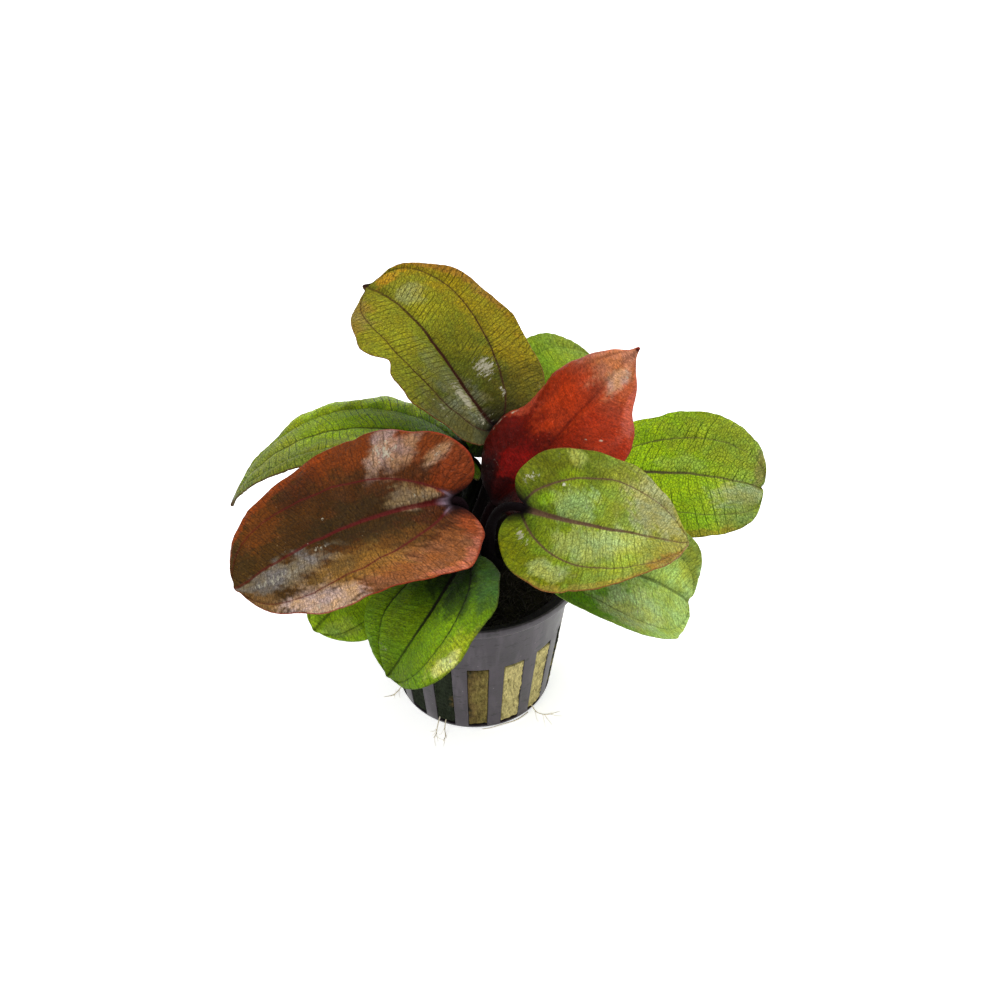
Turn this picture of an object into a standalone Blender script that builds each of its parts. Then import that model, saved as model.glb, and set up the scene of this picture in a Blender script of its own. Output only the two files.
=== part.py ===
"""Echinodorus, a rosette water plant, growing from a rockwool plug in a slotted net pot.

The origin is the centre of the pot's base, +Z is up, and the photograph looks along +Y.
Driving dimensions are in millimetres and degrees.
"""
import math

import bmesh
import bpy
import numpy as np

for old in list(bpy.data.objects):
    bpy.data.objects.remove(old, do_unlink=True)

MM = 0.001

# Net pot, turned about Z, with a flared collar. SLOT_SHARE is the part of each pitch that is
# slot, and the first slot faces the photograph, a little to the right.
POT_HEIGHT = 43.0
POT_BASE_RADIUS = 19.0
POT_WALL_TOP = 40.0
POT_WALL_TOP_RADIUS = 24.2
POT_RIM_RADIUS = 27.3
POT_WALL = 1.1
POT_FLOOR = 1.2
POT_FOOT_ROUND = 1.2
COLLAR_WALL = 0.8
COLLAR_ROUND = 0.5
RIM_ROUND = 0.3
SLOTS = 15
SLOT_TOP = 24.5
SLOT_SHARE = 0.58
FIRST_SLOT_BEARING = -87.0
CELLS_PER_SLOT = 2

# Rockwool plug, which fills the pot to just under the rim, with a slightly crowned top.
PLUG_TOP = 39.2
PLUG_GAP = 0.4
PLUG_TOE = 0.8
PLUG_SHOULDER = 1.2
PLUG_CROWNING = 0.6
PLUG_SIDES = 32

# Crown, the short rootstock that the leaf stalks grow from. CONTACT_GAP keeps it off the
# plug, and the stalks' feet off it.
CROWN_RADIUS = 7.4
CROWN_TOP = 42.7
CROWN_ROUND = 0.8
CROWN_SIDES = 20
CONTACT_GAP = 0.3

# Leaves. A stalk is round and thins to the blade, and its rib thins on to the tip. The rib
# stands out below the blade over RIB_FLARE, and above it only near the ends, where the blade
# is about as narrow as THROAT. STALK_LEAD is how strongly a stalk runs in the blade's
# direction before it meets it, and LOBE_POWER keeps the basal lobes near the base.
FOOT_RADIUS = 1.4
STALK_RADIUS = 1.0
STALK_LEAD = 0.8
RIB_TIP_RADIUS = 0.3
RIB_FLARE = 2.0
THROAT = 3.0
BLADE_THICKNESS = 0.6
LOBE_POWER = 4
STALK_STATIONS = 8
BLADE_STATIONS = 18

# One entry for each leaf:
# foot     where the stalk leaves the crown: distance from the axis, and bearing from +X
# base     where the stalk meets the blade
# heading  bearing of the blade at its base, and how far it turns by the tip
# rise     slope of the midrib at base, middle and tip
# roll     turn of the blade about the midrib at base, middle and tip
# length   midrib length of the blade
# width    half-widths, left and right of the midrib
# cup      fold of the two halves upwards at base and tip, and the extra curl of the margins
# lobe     how far the two basal lobes reach back past the stalk
# outline  bluntness of the base, taper of the tip, and how much fuller the base half is
LEAVES = {
    "leaf_upper_left": dict(foot=(2.2, 110), base=(5, 27, 59), heading=(140, 0),
                            rise=(30, 40, -15), roll=(0, 7, -15), length=48, width=(21, 22),
                            cup=(35, 5, 0), lobe=6, outline=(0.0, 0.0, 0.1)),
    "leaf_far_left": dict(foot=(5.6, 125), base=(-2, 27, 50), heading=(188, 14),
                          rise=(40, 2, -70), roll=(10, 15, 25), length=69, width=(18, 18),
                          cup=(10, 0, -5), lobe=0, outline=(0.4, 0.9, 0.3)),
    "leaf_red_left": dict(foot=(5.6, 228), base=(-5, -9, 68), heading=(200, 8),
                          rise=(10, -8, -25), roll=(-60, -5, -10), length=54, width=(23, 22),
                          cup=(15, 0, 0), lobe=12, outline=(0.5, 0.2, 0.0)),
    "leaf_front": dict(foot=(5.6, 265), base=(-2, -15, 56), heading=(252, -32),
                       rise=(0, -20, -50), roll=(10, 20, 15), length=35, width=(18, 18),
                       cup=(5, 10, -5), lobe=3, outline=(0.5, 0.0, -0.1)),
    "leaf_low_left": dict(foot=(5.6, 190), base=(-10, -1, 46), heading=(215, 5),
                          rise=(10, -12, -40), roll=(0, -5, -5), length=36, width=(16, 12),
                          cup=(5, 5, 0), lobe=2, outline=(0.2, 0.1, 0.0)),
    "leaf_young_red": dict(foot=(2.2, -30), base=(5, 3, 56), heading=(15, 20),
                           rise=(45, 45, 30), roll=(30, 0, 55), length=50, width=(18, 18),
                           cup=(40, 0, -20), lobe=0, outline=(0.4, 1.0, 0.0)),
    "leaf_right_front": dict(foot=(5.6, -50), base=(12, -16, 72), heading=(-21, 12),
                             rise=(-5, 0, -10), roll=(45, 10, -10), length=38, width=(20, 19),
                             cup=(-5, 5, 0), lobe=8, outline=(0.6, 0.4, 0.0)),
    "leaf_right": dict(foot=(5.6, 30), base=(22, 19, 46), heading=(-12, 2),
                       rise=(35, 10, -15), roll=(5, 5, 0), length=51, width=(20, 22),
                       cup=(-5, 5, 0), lobe=3, outline=(0.3, -0.3, 0.0)),
    "leaf_low_right": dict(foot=(5.6, -12), base=(15, -16, 57), heading=(-11, 12),
                           rise=(0, -15, -50), roll=(-5, 15, 25), length=39, width=(15, 20),
                           cup=(5, 5, 20), lobe=3, outline=(0.2, -0.2, 0.1)),
    "leaf_back": dict(foot=(5.6, 75), base=(6, 29, 50), heading=(50, -15),
                      rise=(50, 15, -30), roll=(0, 5, 5), length=38, width=(14, 15),
                      cup=(10, 5, 0), lobe=2, outline=(0.2, 0.2, -0.4)),
}

# Roots that have grown out through the slots and lie at the pot's foot. Each route starts
# in a slot's mouth and ends at the root's tip, and ROOT_REST is the height of one that lies
# on the ground.
ROOT_RADIUS = 0.35
ROOT_REST = 0.4
ROOT_STEPS = 4
ROOTS = {
    "root_front_left": ((-8.4, -17.6, 3.2), (-9.0, -19.2, 1.4), (-9.3, -20.6, ROOT_REST),
                        (-9.9, -22.2, ROOT_REST)),
    "root_front": ((-6.9, -18.3, 3.0), (-7.2, -19.9, 1.2), (-7.0, -21.4, ROOT_REST),
                   (-7.6, -23.2, ROOT_REST)),
    "root_right": ((14.2, -13.8, 3.2), (15.6, -14.6, 1.4), (18.2, -14.4, ROOT_REST),
                   (21.2, -13.4, ROOT_REST)),
    "root_left": ((-18.0, -7.4, 3.4), (-19.3, -8.0, 1.6), (-20.6, -8.0, ROOT_REST),
                  (-22.6, -8.6, ROOT_REST)),
}

# Base colour (linear) and roughness of each finish.
FINISHES = {
    "pot_plastic": ((0.075, 0.065, 0.075), 0.45),
    "rockwool": ((0.16, 0.13, 0.05), 0.9),
    "crown_tissue": ((0.06, 0.02, 0.02), 0.5),
    "leaf_green": ((0.16, 0.32, 0.03), 0.35),
    "leaf_olive": ((0.22, 0.18, 0.04), 0.35),
    "leaf_bronze": ((0.26, 0.09, 0.04), 0.3),
    "leaf_crimson": ((0.40, 0.05, 0.02), 0.3),
    "root_tissue": ((0.45, 0.38, 0.28), 0.7),
}
LEAF_FINISHES = {
    "leaf_upper_left": "leaf_olive",
    "leaf_red_left": "leaf_bronze",
    "leaf_young_red": "leaf_crimson",
}


def material(piece, finish):
    """A material of the piece's own, from the finish that it is made in."""
    color, roughness = FINISHES[finish]
    made = bpy.data.materials.new(piece)
    made.use_nodes = True
    shader = made.node_tree.nodes["Principled BSDF"]
    shader.inputs["Base Color"].default_value = (*color, 1.0)
    shader.inputs["Roughness"].default_value = roughness
    shader.inputs["Metallic"].default_value = 0.0
    return made


def place(name, data, parent=None, at=(0.0, 0.0, 0.0)):
    """Put a mesh or a curve, or with no data an empty, at a point in millimetres."""
    piece = bpy.data.objects.new(name, data)
    piece.parent = parent
    piece.location = [value * MM for value in at]
    bpy.context.collection.objects.link(piece)
    return piece


def solid(name, rings, finish, sharp):
    """A mesh in metres, from rings of points in millimetres that are skinned and capped."""
    bm = bmesh.new()
    grid = [[bm.verts.new(point) for point in ring] for ring in rings]
    for low, high in zip(grid, grid[1:]):
        for i in range(len(low)):
            bm.faces.new((low[i - 1], low[i], high[i], high[i - 1]))
    bm.faces.new(grid[0][::-1])
    bm.faces.new(grid[-1])
    return finished(name, bm, finish, sharp)


def finished(name, bm, finish, sharp):
    """A bmesh in millimetres made a mesh in metres: faces outwards, smooth, with a material."""
    bmesh.ops.recalc_face_normals(bm, faces=bm.faces)
    bmesh.ops.scale(bm, vec=(MM, MM, MM), verts=bm.verts)
    mesh = bpy.data.meshes.new(name)
    bm.to_mesh(mesh)
    bm.free()
    mesh.shade_smooth()
    mesh.set_sharp_from_angle(angle=math.radians(sharp))
    mesh.materials.append(material(name, finish))
    return mesh


def turned(profile, bearings):
    """Rings of points for a profile of (radius, height) turned about Z to the bearings."""
    return [[(r * math.cos(a), r * math.sin(a), z) for a in bearings] for r, z in profile]


def wall_radius(height):
    """Outer radius of the pot's conical wall at a height."""
    share = (height - POT_FLOOR) / (POT_WALL_TOP - POT_FLOOR)
    return POT_BASE_RADIUS + (POT_WALL_TOP_RADIUS - POT_BASE_RADIUS) * share


def net_pot():
    """Conical pot with a flared collar and open slots between its ribs.

    The outside and the inside are two grids over the same columns. Both leave out their
    cells in a slot, and each slot's four edges are closed from the outside to the inside.
    """
    slot_levels = (POT_FLOOR, (POT_FLOOR + SLOT_TOP) / 2, SLOT_TOP)
    outer = [(POT_BASE_RADIUS - POT_FOOT_ROUND, 0.0),
             (POT_BASE_RADIUS - POT_FOOT_ROUND / 4, POT_FOOT_ROUND / 3)]
    outer += [(wall_radius(z), z) for z in slot_levels]
    outer += [(POT_WALL_TOP_RADIUS, POT_WALL_TOP - COLLAR_ROUND),
              (POT_RIM_RADIUS - COLLAR_ROUND, POT_WALL_TOP + COLLAR_ROUND),
              (POT_RIM_RADIUS, POT_WALL_TOP + 2 * COLLAR_ROUND),
              (POT_RIM_RADIUS, POT_HEIGHT - RIM_ROUND),
              (POT_RIM_RADIUS - RIM_ROUND, POT_HEIGHT)]
    inner = [(wall_radius(z) - POT_WALL, z) for z in slot_levels]
    inner += [(POT_WALL_TOP_RADIUS - POT_WALL, POT_WALL_TOP + COLLAR_ROUND),
              (POT_RIM_RADIUS - COLLAR_WALL - COLLAR_ROUND, POT_WALL_TOP + 3 * COLLAR_ROUND),
              (POT_RIM_RADIUS - COLLAR_WALL, POT_HEIGHT)]
    first_outer, first_inner = 2, 0
    slot_cells = len(slot_levels) - 1

    pitch = 360.0 / SLOTS
    widths = [pitch * SLOT_SHARE / CELLS_PER_SLOT] * CELLS_PER_SLOT
    widths += [pitch * (1 - SLOT_SHARE) / CELLS_PER_SLOT] * CELLS_PER_SLOT
    start = FIRST_SLOT_BEARING - pitch * SLOT_SHARE / 2
    bearings = np.radians(start + np.cumsum([0.0] + widths * SLOTS)[:-1])
    columns = len(bearings)
    in_slot = [i % len(widths) < CELLS_PER_SLOT for i in range(columns)]

    bm = bmesh.new()
    outside = [[bm.verts.new(point) for point in ring] for ring in turned(outer, bearings)]
    inside = [[bm.verts.new(point) for point in ring] for ring in turned(inner, bearings)]
    for rows, first in ((outside, first_outer), (inside, first_inner)):
        for level, (low, high) in enumerate(zip(rows, rows[1:])):
            open_level = first <= level < first + slot_cells
            for i in range(columns):
                j = (i + 1) % columns
                if not (in_slot[i] and open_level):
                    bm.faces.new((low[i], low[j], high[j], high[i]))

    bridges = [(outside[-1], inside[-1], [True] * columns)]
    for level in (0, slot_cells):
        bridges.append((outside[first_outer + level], inside[first_inner + level], in_slot))
    for out_row, in_row, wanted in bridges:
        for i in range(columns):
            j = (i + 1) % columns
            if wanted[i]:
                bm.faces.new((out_row[i], out_row[j], in_row[j], in_row[i]))
    for i in range(columns):
        if in_slot[i] != in_slot[i - 1]:
            for level in range(slot_cells):
                low_out, high_out = outside[first_outer + level:][:2]
                low_in, high_in = inside[first_inner + level:][:2]
                bm.faces.new((low_out[i], high_out[i], high_in[i], low_in[i]))
    bm.faces.new(outside[0][::-1])
    bm.faces.new(inside[0])
    place("net_pot", finished("net_pot", bm, "pot_plastic", sharp=30.0))


def rockwool_plug():
    """Tapered plug a little smaller than the pot's inside, with a slightly crowned top."""
    bottom = POT_FLOOR + PLUG_GAP
    inset = POT_WALL + PLUG_GAP
    shoulder = PLUG_TOP - PLUG_SHOULDER
    edge = wall_radius(shoulder) - inset - PLUG_SHOULDER
    profile = [(wall_radius(bottom) - inset - PLUG_TOE, bottom),
               (wall_radius(bottom) - inset, bottom + PLUG_TOE),
               (wall_radius(SLOT_TOP) - inset, SLOT_TOP),
               (wall_radius(shoulder) - inset, shoulder),
               (edge, PLUG_TOP),
               ((edge + CROWN_RADIUS) / 2, PLUG_TOP + PLUG_CROWNING * 0.75),
               (CROWN_RADIUS, PLUG_TOP + PLUG_CROWNING)]
    bearings = np.linspace(0, 2 * np.pi, PLUG_SIDES, endpoint=False)
    place("rockwool_plug",
          solid("rockwool_plug", turned(profile, bearings), "rockwool", sharp=35.0))


def crown(plant):
    """Low rounded rootstock on the plug, with a flat top for the stalks to stand on."""
    bottom = PLUG_TOP + PLUG_CROWNING + CONTACT_GAP
    rise = CROWN_TOP - bottom
    profile = [(CROWN_RADIUS - CROWN_ROUND, -rise), (CROWN_RADIUS, CROWN_ROUND - rise),
               (CROWN_RADIUS, -CROWN_ROUND), (CROWN_RADIUS - CROWN_ROUND / 2, 0.0)]
    bearings = np.linspace(0, 2 * np.pi, CROWN_SIDES, endpoint=False)
    mesh = solid("crown", turned(profile, bearings), "crown_tissue", sharp=35.0)
    place("crown", mesh, parent=plant)


def through(share, base, middle, tip):
    """Quadratic that takes the three values at shares 0, 1/2 and 1 of the length."""
    return (base * (1 - share) * (1 - 2 * share) + middle * 4 * share * (1 - share)
            + tip * share * (2 * share - 1))


def half_outline(turn, half_width, blunt, taper, fuller):
    """Half-width of a blade, where turn goes from 0 at its base to pi at its tip."""
    def shape(t):
        narrowed = np.cos(t / 2).clip(1e-9) ** taper * np.sin(t / 2).clip(1e-9) ** blunt
        return np.sin(t) * narrowed * (1 + fuller * np.cos(t))
    return half_width * shape(turn) / shape(np.linspace(0, np.pi, 200)).max()


def blade_frames(leaf, base):
    """Along a blade: the turn, the share of its length, its midrib, and the directions
    forward, left and up."""
    fine = np.linspace(0, 1, 201)
    rise = np.radians(through(fine, *leaf["rise"]))
    roll = np.radians(through(fine, *leaf["roll"]))
    bearing = np.radians(leaf["heading"][0] + leaf["heading"][1] * fine)
    forward = np.stack([np.cos(rise) * np.cos(bearing), np.cos(rise) * np.sin(bearing),
                        np.sin(rise)], -1)
    level = np.stack([-np.sin(bearing), np.cos(bearing), np.zeros_like(bearing)], -1)
    normal = np.cross(forward, level)
    left = level * np.cos(roll)[:, None] + normal * np.sin(roll)[:, None]
    up = normal * np.cos(roll)[:, None] - level * np.sin(roll)[:, None]
    step = leaf["length"] * (fine[1] - fine[0])
    path = np.zeros_like(forward)
    path[1:] = np.cumsum((forward[1:] + forward[:-1]) / 2 * step, axis=0)
    path += base

    turn = np.linspace(0, np.pi, BLADE_STATIONS)
    share = (1 - np.cos(turn)) / 2

    def read(values):
        return np.stack([np.interp(share, fine, values[:, k]) for k in range(3)], -1)
    return turn, share, read(path), read(forward), read(left), read(up)


def stalk_frames(base, forward, left):
    """Along a stalk, a cubic that rises straight off the crown and runs into the blade: the
    share of its length, its middle, and the directions left and up."""
    span = np.linalg.norm(base)
    t = np.linspace(0, 1, STALK_STATIONS + 1)[:-1, None]
    start = np.array([0.0, 0.0, 1.0]) * span
    end = forward * span * STALK_LEAD
    path = (t**3 - 2 * t**2 + t) * start + (3 * t**2 - 2 * t**3) * base + (t**3 - t**2) * end
    slope = (3 * t**2 - 4 * t + 1) * start + (6 * t - 6 * t**2) * base + (3 * t**2 - 2 * t) * end
    slope /= np.linalg.norm(slope, axis=1)[:, None]
    side = left - (left * slope).sum(1)[:, None] * slope
    side /= np.linalg.norm(side, axis=1)[:, None]
    return t[:, 0], path, side, np.cross(slope, side)


# Twelve points round a section: seven from left to right over the top, five back below.
ROUND = np.radians(np.arange(12) * 30.0)
ACROSS = np.array([3, 2, 1, 0, -1, -2, -3, -2, -1, 0, 1, 2]) / 3.0
FACE = np.array([0, 1, 1, 1, 1, 1, 0, -1, -1, -1, -1, -1])


def leaf_piece(name, leaf, plant):
    """Stalk and blade in one skin: round sections that widen into a thin cupped blade.

    The object stands at the stalk's foot on the crown, and its mesh starts there.
    """
    reach, bearing = leaf["foot"]
    foot = np.array([reach * math.cos(math.radians(bearing)),
                     reach * math.sin(math.radians(bearing)), CROWN_TOP + CONTACT_GAP])
    turn, share, path, forward, left, up = blade_frames(leaf, np.array(leaf["base"]) - foot)
    t, stalk, stalk_left, stalk_up = stalk_frames(path[0], forward[0], left[0])

    rings = []
    for k in range(STALK_STATIONS):
        radius = STALK_RADIUS + (FOOT_RADIUS - STALK_RADIUS) * (1 - t[k]) ** 2
        rings.append(stalk[k] + radius * (np.cos(ROUND)[:, None] * stalk_left[k]
                                          + np.sin(ROUND)[:, None] * stalk_up[k]))

    left_half, right_half = (half_outline(turn, half, *leaf["outline"]) for half in leaf["width"])
    cup_base, cup_tip, curl = leaf["cup"]
    set_back = np.sin(turn) * np.cos(turn / 2) ** LOBE_POWER
    set_back *= leaf["lobe"] / set_back.max()
    for k in range(BLADE_STATIONS):
        rib = STALK_RADIUS + (RIB_TIP_RADIUS - STALK_RADIUS) * share[k]
        half = np.where(ACROSS >= 0, left_half[k], right_half[k])
        fold = cup_tip + (cup_base - cup_tip) * (1 - share[k]) ** 2 + curl * ACROSS**2
        fold = np.radians(fold)
        side = np.abs(ACROSS) * half
        out = np.sign(ACROSS) * side * np.cos(fold) + rib * np.cos(ROUND)
        keel = np.where(FACE < 0, np.exp(-(side / RIB_FLARE) ** 2), np.exp(-half / THROAT))
        over = side * np.sin(fold) + FACE * BLADE_THICKNESS / 2 + rib * np.sin(ROUND) * keel
        back = set_back[k] * ACROSS**2
        rings.append(path[k] + out[:, None] * left[k] + over[:, None] * up[k]
                     - back[:, None] * forward[k])
    mesh = solid(name, rings, LEAF_FINISHES.get(name, "leaf_green"), sharp=60.0)
    place(name, mesh, parent=plant, at=foot - (0.0, 0.0, CROWN_TOP))


def root_piece(name, route):
    """A root: a tube along a smooth curve through its route, with closed ends."""
    points = np.array(route)
    legs = len(points) - 1
    padded = np.vstack([2 * points[0] - points[1], points, 2 * points[-1] - points[-2]])
    curve = bpy.data.curves.new(name, "CURVE")
    curve.dimensions = "3D"
    curve.bevel_depth = ROOT_RADIUS * MM
    curve.bevel_resolution = 1
    curve.use_fill_caps = True
    spline = curve.splines.new("POLY")
    spline.points.add(ROOT_STEPS * legs)
    for point, knot in zip(spline.points, np.linspace(0, legs, ROOT_STEPS * legs + 1)):
        leg = min(int(knot), legs - 1)
        t = knot - leg
        a, b, c, d = padded[leg:leg + 4]
        middle = 0.5 * (2 * b + (c - a) * t + (2 * a - 5 * b + 4 * c - d) * t**2
                        + (3 * b - 3 * c + d - a) * t**3)
        point.co = (*(middle * MM), 1.0)
    curve.materials.append(material(name, "root_tissue"))
    place(name, curve)


net_pot()
rockwool_plug()
rosette = place("rosette", None, at=(0.0, 0.0, CROWN_TOP))
crown(rosette)
for leaf_name, leaf_sizes in LEAVES.items():
    leaf_piece(leaf_name, leaf_sizes, rosette)
for root_name, root_route in ROOTS.items():
    root_piece(root_name, root_route)
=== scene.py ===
import math
from functools import partial

import bpy
import numpy as np
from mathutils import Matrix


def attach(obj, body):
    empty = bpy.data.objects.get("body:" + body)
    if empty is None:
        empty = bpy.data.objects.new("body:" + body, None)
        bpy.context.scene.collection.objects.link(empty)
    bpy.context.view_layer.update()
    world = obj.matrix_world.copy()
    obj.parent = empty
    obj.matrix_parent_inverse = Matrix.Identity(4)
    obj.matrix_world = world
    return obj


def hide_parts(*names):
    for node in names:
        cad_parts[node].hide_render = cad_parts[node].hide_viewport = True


# Echinodorus in a slotted net pot. Every leaf, the pot, the rockwool plug, the crown and the
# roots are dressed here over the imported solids. Sizes are in millimetres and degrees, the
# origin is the centre of the pot's base, +Z is up and the photograph looks along +Y.
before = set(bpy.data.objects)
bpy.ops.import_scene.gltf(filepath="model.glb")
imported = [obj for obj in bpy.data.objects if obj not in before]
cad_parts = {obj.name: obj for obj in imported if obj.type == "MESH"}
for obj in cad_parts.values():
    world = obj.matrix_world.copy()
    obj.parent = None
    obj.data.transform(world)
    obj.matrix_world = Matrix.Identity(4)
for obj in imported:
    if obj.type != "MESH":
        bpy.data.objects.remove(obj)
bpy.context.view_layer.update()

MM = 0.001

# Floor, light and camera.
FLOOR_HALF = 3000.0
LENS = 85.0
SENSOR = 36.0
CAMERA_ELEVATION = 43.0
CAMERA_DISTANCE = 556.0
CAMERA_TARGET = (6.4, 0.0, 59.7)

# Net pot: the solid's own sizes, with more columns and rounded edges. The foot and the two
# sides of the collar are rows of radius and height from below, the wall's rings heights.
POT_HEIGHT = 43.0
POT_BASE_RADIUS = 19.0
POT_WALL_TOP = 40.0
POT_WALL_TOP_RADIUS = 24.2
POT_RIM_RADIUS = 27.3
POT_WALL = 1.1
POT_FLOOR = 1.2
COLLAR_WALL = 0.8
SLOTS = 15
SLOT_TOP = 24.5
SLOT_SHARE = 0.58
FIRST_SLOT_BEARING = -87.0
SLOT_COLUMNS = 8
RIB_COLUMNS = 6
SLOT_LEVELS = 9
POT_FOOT = ((POT_BASE_RADIUS - 1.2, 0.0), (POT_BASE_RADIUS - 0.7, 0.1),
            (POT_BASE_RADIUS - 0.3, 0.45))
POT_WALL_RINGS = (28.0, 32.0, 36.0)
COLLAR = ((POT_WALL_TOP_RADIUS, 39.4), (25.3, 40.1), (26.7, 40.6), (27.15, 40.8),
          (POT_RIM_RADIUS, 41.1), (POT_RIM_RADIUS, 42.6), (27.2, 42.9), (27.0, POT_HEIGHT))
COLLAR_INSIDE = ((POT_WALL_TOP_RADIUS - POT_WALL, 40.5), (25.6, 41.3),
                 (POT_RIM_RADIUS - COLLAR_WALL, 42.0), (26.5, 42.8), (26.7, POT_HEIGHT))
EDGE_ANGLE = math.radians(40)

# Rockwool plug with its loose fibres, crown and roots.
PLUG_TOP = 39.2
PLUG_BOTTOM = 1.6
PLUG_GAP = 0.4
PLUG_SWELL = 1.35
PLUG_COLUMNS = 600
FIBRES = 1500
FIBRE_STEPS = 8
FIBRE_REACH = 25.0
COLLAR_BEGINS = 22.6
CROWN_RADIUS = 7.4
CROWN_BOTTOM = 40.1
CROWN_DOME = 4.8
ROOT_RADIUS = 0.16
ROOT_STEPS = 24
BRANCHES = 5

# Leaves, on the solids' frames. The blade is 0.36 mm thick, against 0.6 mm there, and the basal
# lobes of leaf_far_left and leaf_back are larger. A section has ACROSS points over the top and
# as many below.
STALK_FOOT = 43.0
FOOT_RADIUS = 1.4
STALK_RADIUS = 1.0
STALK_LEAD = 0.8
RIB_TIP_RADIUS = 0.3
RIB_FLARE = 2.0
THROAT = 3.0
BLADE_THICKNESS = 0.36
LOBE_POWER = 4
SHEATH = 0.55
NIB_SHARE = 0.02
NIB_HALF = 0.8
# How far the stalk's near-black colour, painted shade, runs onto the blade, in millimetres.
STALK_COLOR_END = 2.5
OFF_VEIN = 5.0
STALK_STATIONS = 36
BLADE_STATIONS = 200
ACROSS = 96

# Half-width of the dark line of a midrib, at its base and at its tip.
RIB_HALF = (0.58, 0.30)
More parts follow.
